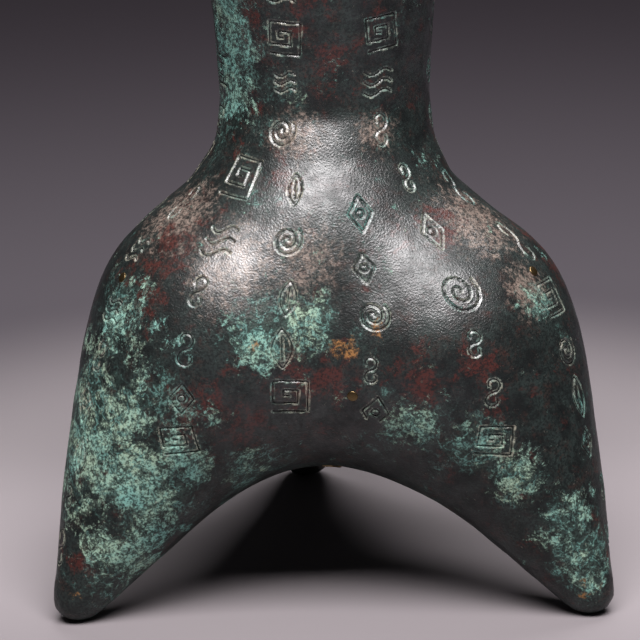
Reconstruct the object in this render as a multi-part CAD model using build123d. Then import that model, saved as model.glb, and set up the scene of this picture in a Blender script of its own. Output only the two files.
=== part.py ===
from build123d import *
import math
import os

import numpy as np

# A cast bronze pouring vessel on three bag-shaped legs, as the pieces it is joined from.
# Millimetres and degrees. The origin is on the table, under the axis of the neck, and +Z is up.
# The back leg and the handle point to +Y, the spout to -X and the tail to +X.

# Bronze wall and fits
WALL = 3.2
FIT_GAP = 0.1

# Legs: a bag in the belly that tapers to a foot, in the order back, left, right
LEG_NAMES = ("back", "left", "right")
LEG_ANGLES = (96.3, 209.3, 327.9)
BAG_REACHES = (34.2, 28.3, 31.4)
BAG_HEIGHTS = (67.6, 69.6, 66.0)
BAG_RADIUS = 37.9
BAG_BLEND = 8.3
LEG_TAPER_POWER = 1.12
LEG_TAPER_EASE = 0.15
LEG_WAIST = 2.8
LEG_BOW = 4.5
FOOT_REACH = 76.6
FOOT_RADIUS = 7.4
FOOT_WEAR = 0.4

# Shoulder: a dome under the neck that is fuller towards the front
DOME_CENTRE = (-1.2, -9.7, 95.0)
DOME_RADIUS = 32.0
DOME_BLEND = 6.1

# Neck and mouth: a waist that flares upwards with one large radius
WAIST_RADIUS = 26.0
WAIST_Z = 95.0
FLARE_RADIUS = 584.0
NECK_ROOT_Z = 65.0
NECK_BLEND = 4.5

# Joint between the two castings
SEAM_Z = 170.0
LAP_LENGTH = 5.0

# Foot tips that plug the core openings
FOOT_JOINT_Z = 13.0
PLUG_LENGTH = 8.0

# Rim, spout and tail
RIM_SIDE_Z = 211.0
SPOUT_REACH = 100.0
SPOUT_TIP_Z = 240.0
SPOUT_HALF_WIDTH = 14.0
SPOUT_ROOT_X = 33.0
SPOUT_ROOT_Z = 185.0
SPOUT_LIP_Z = 219.0
TAIL_REACH = 94.0
TAIL_TIP_Z = 243.0
TAIL_HALF_WIDTH = 31.0
TAIL_TAPER_POWER = 0.7
TAIL_ROOT_X = 33.0
TAIL_ROOT_Z = 186.0
TAIL_KEEL_Z = 236.0
MOUTH_BLEND = 5.0

# Bowstring ridges round the cup
RIDGE_COUNT = 3
RIDGE_FIRST_Z = 172.4
RIDGE_SPACING = 4.4
RIDGE_RADIUS = 1.1
RIDGE_STEPS = 4

# Handle strap
HANDLE_UPPER_Z = 198.0
HANDLE_LOWER_Z = 145.0
HANDLE_REACH = 62.0
HANDLE_LOWER_REACH = 57.0
HANDLE_WIDTH = 13.0
HANDLE_THICKNESS = 5.0
HANDLE_EDGE_RADIUS = 1.8
HANDLE_BEND = 17.0
HANDLE_TENON_RADIUS = 2.3
LOCK_RADIUS = 5.6
LOCK_THICKNESS = 2.4
TENON_PROUD = 0.5

# Rim posts and their caps
POST_ANGLE_FROM_SPOUT = 40.0
SADDLE_RADIUS = 5.2
SADDLE_DROP = 9.0
SADDLE_RISE = 4.0
POST_FOOT_RADIUS = 4.0
POST_TOP_RADIUS = 3.2
POST_HEIGHT = 24.0
POST_TENON_RADIUS = 1.8
POST_TENON_LENGTH = 4.0
POST_PIN_RADIUS = 1.2
CAP_RADIUS = 8.0
CAP_EDGE = 2.6
CAP_HEIGHT = 10.0
CAP_KNOB_RADIUS = 1.6

# Core pins and bottom chaplets, by their direction from the middle of the belly
CORE_PIN_RADIUS = 1.1
CORE_PIN_INSET = 1.5
VALLEY_PIN_ELEVATION = -23.6
VALLEY_PIN_SHIFT = 6.0
LOBE_PIN_ELEVATION = 6.0
CHAPLET_SIDE = 4.5
CHAPLET_ELEVATION = -62.0

# Surface sampling: rays fan out from one point of the axis, closest together at the feet
FAN_Z = 85.0
FAN_END = -86.0
NECK_RINGS = 14
FAN_RINGS = 12
SECTOR_POINTS = 14
CUP_RINGS = 22
CUP_SIDE_POINTS = 24
CROWDING = 0.7
RAY_REACH = 4 * FOOT_REACH
RAY_STEPS = 50
SLOPE_STEP = 0.01
CUT_MARGIN = 5.0

LEGS = tuple(zip(LEG_ANGLES, BAG_REACHES, BAG_HEIGHTS))
UP = np.array([0.0, 0.0, 1.0])


def outward(angle):
    """Unit vector away from the axis at an angle about it."""
    return np.array([math.cos(math.radians(angle)), math.sin(math.radians(angle)), 0.0])


def crowded(start, end, count):
    """Values from start up to, but not at, end that lie closest together near both."""
    share = np.arange(count) / count
    eased = share - CROWDING * np.sin(2 * np.pi * share) / (2 * np.pi)
    return start + (end - start) * eased


def soft_union(distances, blend):
    """Distance to several shapes that run into each other with a soft fillet."""
    distances = np.stack(distances)
    nearest = distances.min(axis=0)
    return nearest - blend * np.log(np.exp((nearest - distances) / blend).sum(axis=0))


def neck_radius(z):
    """Outer radius of the neck and mouth at a height."""
    return WAIST_RADIUS + np.maximum(z - WAIST_Z, 0.0) ** 2 / (2 * FLARE_RADIUS)


def leg_distance(points, angle, bag_reach, bag_height):
    """Distance to one leg: a tapering, slightly bowed sweep from its bag to its foot."""
    bag = outward(angle) * bag_reach + UP * bag_height
    foot = outward(angle) * FOOT_REACH + UP * (FOOT_RADIUS - FOOT_WEAR)
    along = foot - bag
    share = np.clip((points - bag) @ along / (along @ along), 0.0, 1.0)
    middle = (4 * share * (1 - share)) ** 2
    centre = bag + np.outer(share, along) + np.outer(LEG_BOW * middle, outward(angle))
    eased = np.hypot(share, LEG_TAPER_EASE) - LEG_TAPER_EASE
    taper = (eased / (math.hypot(1.0, LEG_TAPER_EASE) - LEG_TAPER_EASE)) ** LEG_TAPER_POWER
    radius = BAG_RADIUS + (FOOT_RADIUS - BAG_RADIUS) * taper - LEG_WAIST * middle
    return np.linalg.norm(points - centre, axis=1) - radius


def body_distance(points):
    """Distance to the outside of the belly, the legs, the shoulder and the neck."""
    bags = soft_union([leg_distance(points, *leg) for leg in LEGS], BAG_BLEND)
    dome = np.linalg.norm(points - np.array(DOME_CENTRE), axis=1) - DOME_RADIUS
    belly = soft_union([bags, dome], DOME_BLEND)
    across = np.hypot(points[:, 0], points[:, 1]) - neck_radius(points[:, 2])
    neck = np.maximum(across, NECK_ROOT_Z - points[:, 2])
    return soft_union([belly, neck], NECK_BLEND)


def trough_distance(points, along, keel_z, half_width):
    """Distance to a round-bottomed trough, open upwards, that runs out along X."""
    below = np.minimum(points[:, 2] - keel_z - half_width, 0.0)
    return np.maximum(np.hypot(points[:, 1], below) - half_width, -along)


def cup_distance(points):
    """Distance to the outside of the mouth with its spout and tail."""
    mouth = np.hypot(points[:, 0], points[:, 1]) - neck_radius(points[:, 2])
    along_spout = -points[:, 0]
    spout_share = (along_spout - SPOUT_ROOT_X) / (SPOUT_REACH - SPOUT_ROOT_X)
    spout_keel = SPOUT_ROOT_Z + (SPOUT_LIP_Z - SPOUT_ROOT_Z) * spout_share
    spout = trough_distance(points, along_spout, spout_keel, SPOUT_HALF_WIDTH)
    along_tail = points[:, 0]
    tail_share = (along_tail - TAIL_ROOT_X) / (TAIL_REACH - TAIL_ROOT_X)
    tail_keel = TAIL_ROOT_Z + (TAIL_KEEL_Z - TAIL_ROOT_Z) * tail_share
    left = np.clip(1 - along_tail / TAIL_REACH, 0.0, 1.0)
    tail = trough_distance(points, along_tail, tail_keel, TAIL_HALF_WIDTH * left**TAIL_TAPER_POWER)
    tail = np.maximum(tail, along_tail - TAIL_REACH)
    return soft_union([mouth, spout, tail], MOUTH_BLEND)


def ray_hits(distance, level, centre_z, elevation, angles):
    """Points where rays from one point of the axis leave the shape at a level of its distance."""
    flat = math.cos(math.radians(elevation))
    rays = np.stack([outward(angle) * flat for angle in angles])
    rays = rays + UP * math.sin(math.radians(elevation))
    near = np.zeros(len(angles))
    far = np.full(len(angles), RAY_REACH)
    for _ in range(RAY_STEPS):
        middle = (near + far) / 2
        inside = distance(UP * centre_z + middle[:, None] * rays) < level
        near = np.where(inside, middle, near)
        far = np.where(inside, far, middle)
    return UP * centre_z + far[:, None] * rays


def ring(distance, level, centre_z, elevation, angles):
    """Closed smooth curve through the ray hits at one elevation."""
    hits = ray_hits(distance, level, centre_z, elevation, angles)
    places = [math.radians(angle) for angle in angles]
    places.append(places[0] + 2 * math.pi)
    points = [tuple(hit) for hit in hits]
    return Wire(Edge.make_spline(points, periodic=True, parameters=places))


def body_sections(level, top_z):
    """Rings down the neck and the fan of the belly, and the point that ends them underneath."""
    turns = zip(LEG_ANGLES, LEG_ANGLES[1:] + (LEG_ANGLES[0] + 360.0,))
    angles = np.concatenate([crowded(start, end, SECTOR_POINTS) for start, end in turns])
    foot_elevation = math.degrees(math.atan2(FOOT_RADIUS - FAN_Z, FOOT_REACH))
    fan = np.concatenate(
        [crowded(0.0, foot_elevation, FAN_RINGS), crowded(foot_elevation, FAN_END, FAN_RINGS)]
    )
    heights = crowded(top_z, FAN_Z, NECK_RINGS)
    sections = [ring(body_distance, level, z, 0.0, angles) for z in heights]
    sections += [ring(body_distance, level, FAN_Z, elevation, angles) for elevation in fan]
    pole = ray_hits(body_distance, level, FAN_Z, -90.0, [0.0])[0]
    return sections + [Vertex(*pole)]


def ridge_profile():
    """Heights and levels of the rings that raise the bowstring ridges out of the cup, upwards."""
    profile = []
    for count in range(RIDGE_COUNT):
        for turn in np.linspace(math.pi, 0.0, RIDGE_STEPS):
            z = RIDGE_FIRST_Z + count * RIDGE_SPACING + RIDGE_RADIUS * math.cos(turn)
            profile.append((z, RIDGE_RADIUS * math.sin(turn)))
    return profile


def cup_sections(level, raised=()):
    """Level rings of the mouth, from the seam to above the highest point of the rim."""
    half_turns = [crowded(start, start + 180.0, CUP_SIDE_POINTS) for start in (0.0, 180.0)]
    angles = np.concatenate(half_turns)
    above_ridges = RIDGE_FIRST_Z + RIDGE_COUNT * RIDGE_SPACING
    heights = np.linspace(above_ridges, max(SPOUT_TIP_Z, TAIL_TIP_Z) + CUT_MARGIN, CUP_RINGS)
    profile = [(SEAM_Z, 0.0), *raised] + [(z, 0.0) for z in heights]
    return [ring(cup_distance, level + rise, z, 0.0, angles) for z, rise in profile]


def wall_between(outer, inner, ends):
    """Solid wall between two lofts, closed by flat faces at the rings that the ends number."""
    faces = Shell.make_loft(outer, ruled=True).faces() + Shell.make_loft(inner, ruled=True).faces()
    return Solid(Shell(faces + [Face(outer[end], [inner[end]]) for end in ends]))


def upright(radius, bottom_z, top_z, x=0.0, y=0.0):
    """Vertical cylinder between two heights."""
    return Pos(x, y, (bottom_z + top_z) / 2) * Cylinder(radius, top_z - bottom_z)


def level_rod(radius, start_y, end_y, z):
    """Cylinder along Y over the axis of the handle."""
    return Pos(0, (start_y + end_y) / 2, z) * Rot(90, 0, 0) * Cylinder(radius, end_y - start_y)


def slab(bottom_z, top_z):
    """Everything between two heights."""
    side = 2 * RAY_REACH
    return Pos(0, 0, (bottom_z + top_z) / 2) * Box(side, side, top_z - bottom_z)


def surface_plane(angle, elevation):
    """Plane on the outside of the belly, where a ray of the fan leaves it, that faces outwards."""
    place = ray_hits(body_distance, 0.0, FAN_Z, elevation, [angle])[0]
    steps = place + SLOPE_STEP * np.concatenate([np.eye(3), -np.eye(3)])
    values = body_distance(steps)
    normal = values[:3] - values[3:]
    return Plane(origin=tuple(place), z_dir=tuple(normal))


def valley_angles():
    """Angles midway between the legs."""
    turned = LEG_ANGLES[1:] + (LEG_ANGLES[0] + 360.0,)
    return [(start + end) / 2 for start, end in zip(LEG_ANGLES, turned)]


def lap_radius():
    """Radius of the lap, midway through the bronze that both castings share."""
    return float(neck_radius(SEAM_Z) + neck_radius(SEAM_Z + LAP_LENGTH) - WALL) / 2


def rim_z(x):
    """Height of the rim, an arc from its low side to each tip, at a place along the spout and tail."""
    reach, tip_z = (SPOUT_REACH, SPOUT_TIP_Z) if x < 0 else (TAIL_REACH, TAIL_TIP_Z)
    rise = tip_z - RIM_SIDE_Z
    radius = (reach**2 + rise**2) / (2 * rise)
    return RIM_SIDE_Z + radius - math.sqrt(radius**2 - x**2)


def make_lower_body(outer, inner):
    """Belly, hollow legs and neck in one casting, open at the feet, with a lap for the cup."""
    spigot_top = SEAM_Z + LAP_LENGTH - FIT_GAP
    lap = upright(2 * lap_radius(), SEAM_Z, spigot_top) - upright(lap_radius(), SEAM_Z, spigot_top)
    return wall_between(outer, inner, [0]) - slab(-FOOT_REACH, FOOT_JOINT_Z) - lap


def make_foot_tips(belly, hollow):
    """Solid tips of the legs, each with a plug cast into the leg above it."""
    ends = (belly & slab(0.0, FOOT_JOINT_Z)).solids()
    plugs = (hollow & slab(FOOT_JOINT_Z, FOOT_JOINT_Z + PLUG_LENGTH)).solids()
    tips = {}
    for name, angle in zip(LEG_NAMES, LEG_ANGLES):
        foot = Vector(*(outward(angle) * FOOT_REACH))
        tips[name] = ends.sort_by_distance(foot)[0] + plugs.sort_by_distance(foot)[0]
    return tips


def make_pin_rods():
    """Rods for the core pins, square to the wall, one in each valley and one on each lobe."""
    planes = [surface_plane(angle + VALLEY_PIN_SHIFT, VALLEY_PIN_ELEVATION) for angle in valley_angles()]
    planes += [surface_plane(angle, LOBE_PIN_ELEVATION) for angle in LEG_ANGLES]
    length = WALL + CORE_PIN_INSET + CUT_MARGIN
    rod = Pos(0, 0, CUT_MARGIN - length / 2) * Cylinder(CORE_PIN_RADIUS, length)
    return [plane * rod for plane in planes]


def make_chaplet_blocks():
    """Square blocks for the chaplets, through the underside between the legs."""
    planes = [surface_plane(angle, CHAPLET_ELEVATION) for angle in valley_angles()]
    depth = 2 * WALL + CUT_MARGIN
    return [plane * Box(CHAPLET_SIDE, CHAPLET_SIDE, depth) for plane in planes]


def make_cup(outer, inner):
    """Mouth with spout and tail, its rim cut to a curve and its foot bored for the lap."""
    cup = wall_between(outer, inner, [0, -1])
    low = (0, RIM_SIDE_Z)
    spout_tip = (-SPOUT_REACH, SPOUT_TIP_Z)
    past_tail = (TAIL_REACH + CUT_MARGIN, rim_z(TAIL_REACH + CUT_MARGIN))
    lid_z = max(SPOUT_TIP_Z, TAIL_TIP_Z) + 2 * CUT_MARGIN
    far = 2 * RAY_REACH
    corners = [spout_tip, (-SPOUT_REACH, SEAM_Z), (-far, SEAM_Z), (-far, lid_z)]
    corners += [(past_tail[0], lid_z), past_tail]
    rim = TangentArc(low, spout_tip, tangent=(-1, 0)) + TangentArc(low, past_tail, tangent=(1, 0))
    above = extrude(Plane.XZ * make_face(rim + Polyline(*corners)), amount=SPOUT_REACH, both=True)
    socket = upright(lap_radius() + FIT_GAP, SEAM_Z - LAP_LENGTH, SEAM_Z + LAP_LENGTH)
    return cup - above - socket


def inner_y(z):
    """Distance of the inner wall from the axis under one end of the handle."""
    return float(neck_radius(z - LOCK_RADIUS)) - WALL


def tenon_rod(z, gap):
    """Rod of one handle tenon, from inside its lock to inside the strap."""
    start = inner_y(z) - LOCK_THICKNESS - TENON_PROUD
    return level_rod(HANDLE_TENON_RADIUS + gap, start, float(neck_radius(z)) + HANDLE_THICKNESS / 2, z)


def make_handle(belly, mouth):
    """Strap with rounded bends, cut to the walls it stands on, and its two tenons."""
    start = (inner_y(HANDLE_UPPER_Z), HANDLE_UPPER_Z)
    end = (inner_y(HANDLE_LOWER_Z), HANDLE_LOWER_Z)
    upper = (HANDLE_REACH, HANDLE_UPPER_Z)
    lower = (HANDLE_LOWER_REACH, HANDLE_LOWER_Z)
    path = Plane.YZ * FilletPolyline(start, upper, lower, end, radius=HANDLE_BEND)
    section = RectangleRounded(HANDLE_WIDTH, HANDLE_THICKNESS, HANDLE_EDGE_RADIUS)
    strap = sweep(Plane(path @ 0, x_dir=(1, 0, 0), z_dir=path % 0) * section, path=path)
    strap = strap - belly - mouth
    return strap + tenon_rod(HANDLE_UPPER_Z, 0.0) + tenon_rod(HANDLE_LOWER_Z, 0.0)


def make_handle_lock(hollow, z):
    """Button cast round the end of a tenon, against the inner wall."""
    button = level_rod(LOCK_RADIUS, inner_y(z) - LOCK_THICKNESS, float(neck_radius(z)), z)
    return (button & hollow) - tenon_rod(z, FIT_GAP)


def post_place(angle):
    """Place of a post on the rim: its X, its Y and the height of the rim there."""
    z = RIM_SIDE_Z
    for _ in range(5):
        edge = ray_hits(cup_distance, -WALL / 2, z - SADDLE_DROP / 2, 0.0, [angle])[0]
        z = rim_z(edge[0])
    return edge[0], edge[1], z


def make_post(cup, angle):
    """Post with a forked foot over the rim and a tenon for its cap."""
    x, y, z = post_place(angle)
    saddle = upright(SADDLE_RADIUS, z - SADDLE_DROP, z + SADDLE_RISE, x, y)
    saddle = fillet(saddle.edges().sort_by(Axis.Z)[-1], SADDLE_RISE / 2)
    stem = Pos(x, y, z + POST_HEIGHT / 2) * Cone(POST_FOOT_RADIUS, POST_TOP_RADIUS, POST_HEIGHT)
    top = z + POST_HEIGHT
    tenon = upright(POST_TENON_RADIUS, top - POST_TENON_LENGTH, top + POST_TENON_LENGTH, x, y)
    return (saddle + stem + tenon) - cup


def make_post_pin(angle):
    """Pin across a forked foot, square to the rim, flush with the foot."""
    x, y, z = post_place(angle)
    foot = upright(SADDLE_RADIUS, z - SADDLE_DROP, z, x, y)
    turn = Pos(x, y, z - SADDLE_DROP / 2) * Rot(0, 0, angle) * Rot(0, 90, 0)
    return (turn * Cylinder(POST_PIN_RADIUS, 4 * SADDLE_RADIUS)) & foot


def make_post_cap(angle):
    """Pointed cap with an upright edge and a small knob, bored for the post's tenon."""
    x, y, z = post_place(angle)
    knob_z = CAP_HEIGHT - CAP_KNOB_RADIUS
    edge = Polyline((0, 0), (CAP_RADIUS, 0), (CAP_RADIUS, CAP_EDGE))
    slope = Line((CAP_RADIUS, CAP_EDGE), (CAP_KNOB_RADIUS, knob_z))
    knob = RadiusArc((CAP_KNOB_RADIUS, knob_z), (0, CAP_HEIGHT), -CAP_KNOB_RADIUS)
    axis = Line((0, CAP_HEIGHT), (0, 0))
    cap = revolve(Plane.XZ * make_face(edge + slope + knob + axis), axis=Axis.Z)
    bore = upright(POST_TENON_RADIUS + FIT_GAP, -CAP_EDGE, POST_TENON_LENGTH + FIT_GAP)
    return Pos(x, y, z + POST_HEIGHT) * (cap - bore)


def make_pieces():
    """Every piece of the vessel by its name."""
    spigot_top = SEAM_Z + LAP_LENGTH - FIT_GAP
    body_outer = body_sections(0.0, spigot_top)
    body_inner = body_sections(-WALL, spigot_top)
    cup_outer = cup_sections(0.0, ridge_profile())
    cup_inner = cup_sections(-WALL)
    belly = Solid.make_loft(body_outer, ruled=True) - slab(-FOOT_REACH, 0.0)
    hollow = Solid.make_loft(body_inner, ruled=True)
    mouth = Solid.make_loft(cup_outer, ruled=True)
    mouth_hollow = Solid.make_loft(cup_inner, ruled=True)
    lower_body = make_lower_body(body_outer, body_inner)
    cup = make_cup(cup_outer, cup_inner)
    pieces = {}
    for name, tip in make_foot_tips(belly, hollow).items():
        pieces["foot_tip_" + name] = tip
    rods = make_pin_rods()
    pins = [solid for rod in rods for solid in (rod & belly).solids()]
    pieces["core_pins"] = Compound(pins)
    blocks = make_chaplet_blocks()
    chaplets = [solid for block in blocks for solid in (block & lower_body).solids()]
    pieces["bottom_chaplets"] = Compound(chaplets)
    for cutter in rods + blocks + [tenon_rod(HANDLE_LOWER_Z, FIT_GAP)]:
        lower_body -= cutter
    pieces["handle"] = make_handle(belly, mouth)
    pieces["handle_lock_upper"] = make_handle_lock(mouth_hollow, HANDLE_UPPER_Z)
    pieces["handle_lock_lower"] = make_handle_lock(hollow, HANDLE_LOWER_Z)
    cup -= tenon_rod(HANDLE_UPPER_Z, FIT_GAP)
    for name, side in (("front", 1), ("back", -1)):
        angle = 180.0 + side * POST_ANGLE_FROM_SPOUT
        pin = make_post_pin(angle)
        pieces["post_" + name] = make_post(cup, angle) - pin
        pieces["post_cap_" + name] = make_post_cap(angle)
        pieces["post_pin_" + name] = pin
        cup -= pin
    pieces["lower_body"] = lower_body
    pieces["cup"] = cup
    return pieces


if __name__ == "__main__":
    os.makedirs("parts", exist_ok=True)
    for piece_name, piece in make_pieces().items():
        export_step(piece, f"parts/{piece_name}.step")
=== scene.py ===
import math
import random
from typing import NamedTuple

import bpy
import numpy as np
from mathutils import Matrix, Vector, noise
from mathutils.kdtree import KDTree


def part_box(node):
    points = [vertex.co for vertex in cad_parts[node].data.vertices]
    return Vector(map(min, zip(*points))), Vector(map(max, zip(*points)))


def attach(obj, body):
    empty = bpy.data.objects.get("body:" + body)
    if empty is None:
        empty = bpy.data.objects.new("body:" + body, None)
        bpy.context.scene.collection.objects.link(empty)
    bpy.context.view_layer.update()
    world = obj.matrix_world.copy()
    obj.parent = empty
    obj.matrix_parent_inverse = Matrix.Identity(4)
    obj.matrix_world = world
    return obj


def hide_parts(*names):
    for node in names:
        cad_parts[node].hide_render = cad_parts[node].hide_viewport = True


bl_info = {
    "name": "Bronze Tripod Pourer",
    "version": (1, 0, 0),
    "blender": (4, 5, 0),
    "location": "View3D > Sidebar > Pourer",
    "description": "Dresses a cast bronze tripod vessel: smooth castings, chased ornament and patina",
    "category": "Object",
}

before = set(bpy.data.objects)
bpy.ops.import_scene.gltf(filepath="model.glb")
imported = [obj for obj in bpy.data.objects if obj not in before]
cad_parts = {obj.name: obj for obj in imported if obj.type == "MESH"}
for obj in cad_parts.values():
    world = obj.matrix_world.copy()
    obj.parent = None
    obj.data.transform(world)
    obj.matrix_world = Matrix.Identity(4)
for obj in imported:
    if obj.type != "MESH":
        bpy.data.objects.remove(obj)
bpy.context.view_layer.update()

MM = 0.001
BODY = "root"


class Patch(NamedTuple):
    """Patches of a mineral: size in metres, seed, softness of the edge, level where they begin to show."""

    size: float
    seed: float
    softness: float
    level: float = 0.5


class Grain(NamedTuple):
    """Noise: size of its largest features in metres, seed, detail and roughness."""

    size: float
    seed: float
    detail: float
    roughness: float


class Lamp(NamedTuple):
    """Soft lamp: degrees from the front and above the floor, metres away, metres wide and high, watts."""

    name: str
    azimuth: float
    elevation: float
    distance: float
    width: float
    height: float
    power: float


# Joints of the lower casting
FOOT_NODES = ("foot_tip_left", "foot_tip_right", "foot_tip_back")
FOOT_JOINT_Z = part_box("lower_body")[0].z
SPIGOT_LENGTH = 4.9 * MM
SPIGOT_SIDES = 128
SEAM_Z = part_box("lower_body")[1].z - SPIGOT_LENGTH

# Meshes: rounds of smoothing, shares of the faces that are kept, and edges that stay sharp
MERGE_DISTANCE = 0.005 * MM
SMOOTH_IN = 0.5
SMOOTH_OUT = -0.52
CASTING_ROUNDS = 10
HANDLE_ROUNDS = 6
LOCK_ROUNDS = 2
LOCK_ROUNDING = 6
POST_ROUNDS = 4
CASTING_KEPT = 0.46
CUP_KEPT = 0.4
CUT_EDGE = math.radians(60)
SHARP_EDGE = math.radians(40)

# Core pins: how far out of the wall they are looked for, and the mesh of a head
PIN_REACH = 3.5 * MM
PIN_SEGMENTS = 24
PIN_RINGS = 12

# Rays that find the wall: where they start, and how far down a face may look
RAY_START = 0.2
LEAST_UPRIGHT = -0.35

# Chased ornament: columns and rows of motifs on the belly and on the neck
BELLY_COLUMNS = 15
BELLY_FIRST_ANGLE = 258.0
BELLY_TOP_Z = 114 * MM
BELLY_ROWS = 8
NECK_COLUMNS = 7
NECK_FIRST_ANGLE = 248.0
NECK_TOP_Z = 163 * MM
NECK_ROWS = 4
ROW_STEP = 12.5 * MM
POINTS_PER_WIDTH = 4
BURR_WIDTH = 0.25 * MM
BURR_MARK = 0.3
GROOVE_CUTS = 4

# Unevenness of the ornament: degrees about the neck, millimetres up, degrees of lean, share of the size
ORNAMENT_SEED = 7
TURN_SPREAD = 2
ROW_SPREAD = 1
LEAN_SPREAD = 8
SIZE_SPREAD = (0.8, 1.2)

# Whorl on the post caps: curved rays between two shares of the cap's radius
WHORL_RAYS = 6
WHORL_SPAN = (0.3, 0.85)
WHORL_STEPS = 40
WHORL_TURN = 1.9
WHORL_CUTS = 1

# Unevenness of the hand-made mould
BROAD_SWELL = 24 * MM
FINE_SWELL = 9 * MM
FINE_SHARE = 0.4

# Places where minerals gather, in millimetres, with their reach
GREEN_PLACES = (
    ((-62, -40, 52), 46),
    ((-47, -48, 42), 28),
    ((-54, -38, 80), 20),
    ((-52, -44, 22), 26),
    ((-24, -13, 134), 18),
    ((-23, -14, 147), 20),
    ((-24, -14, 160), 24),
    ((60, -48, 28), 14),
    ((-5, -49, 81), 14),
    ((-19, -51, 79), 15),
    ((22, -52, 57), 13),
    ((36, -53, 50), 14),
    ((47, -52, 40), 14),
    ((65, -48, 17), 16),
    ((53, -39, 84), 12),
    ((-22, -42, 41), 14),
    ((34, 58, 88), 26),
    ((-14, 76, 36), 30),
    ((-56, 16, 84), 24),
    ((62, 6, 58), 24),
    ((12, 26, 150), 20),
    ((-52, 8, 206), 30),
    ((62, -6, 214), 26),
    ((16, -30, 200), 20),
    ((-2, 40, 196), 22),
)
RED_PLACES = (
    ((1, -28, 144), 16),
    ((-12, -22, 160), 22),
    ((-7, -29, 114), 16),
    ((-40, -35, 98), 18),
    ((-48, -39, 86), 14),
    ((-36, -50, 60), 16),
    ((-24, -49, 54), 16),
    ((-3, -51, 67), 16),
    ((28, -34, 101), 16),
    ((22, -54, 68), 12),
    ((37, -53, 70), 12),
    ((56, -10, 92), 22),
    ((-67, -44, 18), 10),
    ((2, 62, 96), 22),
    ((44, 40, 76), 20),
    ((-30, -8, 208), 22),
    ((34, 18, 200), 20),
    ((-16, 22, 140), 18),
)
# Places of the warm pale layer, set where highlights fall: partly a real layer, partly painted highlight
DUST_AND_HIGHLIGHT_PLACES = (
    ((-24, -42, 95), 26),
    ((-6, -41, 96), 22),
    ((-38, -26, 104), 26),
    ((38, -28, 102), 26),
    ((-7, -27, 124), 16),
    ((12, -26, 125), 12),
    ((50, -38, 86), 16),
)
OCHRE_PLACES = (
    ((3, -51, 75), 10),
    ((12, -51, 80), 8),
    ((-19, -51, 77), 6),
    ((65, -49, 9), 10),
    ((-68, -45, 9), 6),
)

# How strongly each gathers about its places
GREEN_PULL = 0.15
RED_PULL = 0.11
DUST_AND_HIGHLIGHT_PULL = 0.25
OCHRE_PULL = 0.26

# Patches of the skin and of the minerals
DULL_SKIN = Patch(size=10 * MM, seed=5.5, softness=0.12)
BROWN_SKIN = Patch(size=4 * MM, seed=3.7, softness=0.08, level=0.58)
# Patches of the warm pale layer, which is partly painted highlight
DUST_AND_HIGHLIGHT_FILM = Patch(size=2 * MM, seed=4.8, softness=0.09, level=0.71)
RED_PATCHES = Patch(size=6 * MM, seed=7.7, softness=0.05, level=0.60)
GREEN_REGIONS = Patch(size=16 * MM, seed=6.1, softness=0.07, level=0.615)
GREEN_PATCHES = Patch(size=7 * MM, seed=1.3, softness=0.03, level=0.615)
GREEN_CRUMBS = Patch(size=2 * MM, seed=4.1, softness=0.04, level=0.49)
GREEN_TINTS = Patch(size=34 * MM, seed=9.3, softness=0.1)
OCHRE_STAINS = Patch(size=5 * MM, seed=8.8, softness=0.05, level=0.76)
CRUST_SPECKS = Patch(size=1.2 * MM, seed=2.2, softness=0.03, level=0.63)
GROOVE_CRUST_AND_GLINT = Patch(size=3 * MM, seed=6.4, softness=0.06)
PATCH_NOISE = {"Detail": 12.0, "Roughness": 0.78, "Distortion": 0.35}
VEIN_NOISE = {"Detail": 8.0, "Roughness": 0.6, "Distortion": 0.6}
VEIN_SIZE = 4 * MM
VEIN_SEED = 3.4
VEIN_WIDTH = 0.04

# How fully a layer covers those under it; a pair is for no mask and for a full mask
# Cover of the warm pale layer, which is partly painted highlight
FILM_AND_HIGHLIGHT_COVER = 0.66
RED_COVER = 0.85
REGION_COVER = 0.6
CRUMB_COVER = (0.12, 1.0)
GREEN_COVER = 0.95
VEIN_COVER = 0.6
SPECK_COVER = (0.3, 0.85)
OCHRE_COVER = 0.7
PIT_GRAIN = Grain(size=0.7 * MM, seed=14.0, detail=3.0, roughness=0.6)
PIT_LEVELS = (0.42, 0.53)
PIT_COVER = (0.72, 0.0)

# Grooves by their mark, from 0 beside them to 1 at the bottom: crust and painted highlight on the edge, the
# dark metal colour as painted shade below
EDGE_BEGINS, EDGE_FULL, EDGE_ENDS = (0.08, 0.3, 0.6)
EDGE_COVER = (0.06, 0.5)
BOTTOM_MARKS = (0.5, 0.9)
BOTTOM_COVER = (0.0, 0.85)

# Relief of the skin: grains and their height in millimetres
SKIN_GRAIN = Grain(size=0.5 * MM, seed=3.0, detail=2.0, roughness=0.6)
SKIN_RISE = 0.14
WIPED_GRAIN = Grain(size=0.3 * MM, seed=9.0, detail=2.0, roughness=0.5)
WIPED_RISE = 0.04
WIPE_TURN = (0.6, 0.8, 0.4)
WIPE_STRETCH = (1.0, 1.0, 0.25)
HOLLOW_GRAIN = Grain(size=2.4 * MM, seed=11.0, detail=2.0, roughness=0.5)
HOLLOW_LEVELS = (0.28, 0.40)
HOLLOW_RISE = 0.04
SWELL_GRAIN = Grain(size=7.0 * MM, seed=5.0, detail=2.0, roughness=0.5)
SWELL_RISE = 0.05
CRUST_RISE = 0.08
GLOSS_GRAIN = Grain(size=5.0 * MM, seed=21.0, detail=8.0, roughness=0.7)
GLOSS_LEVELS = (0.3, 0.7)
ROUGHNESS = (0.38, 0.55)
CRUST_ROUGHNESS = 0.25
SKIN_IOR = 1.3

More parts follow.
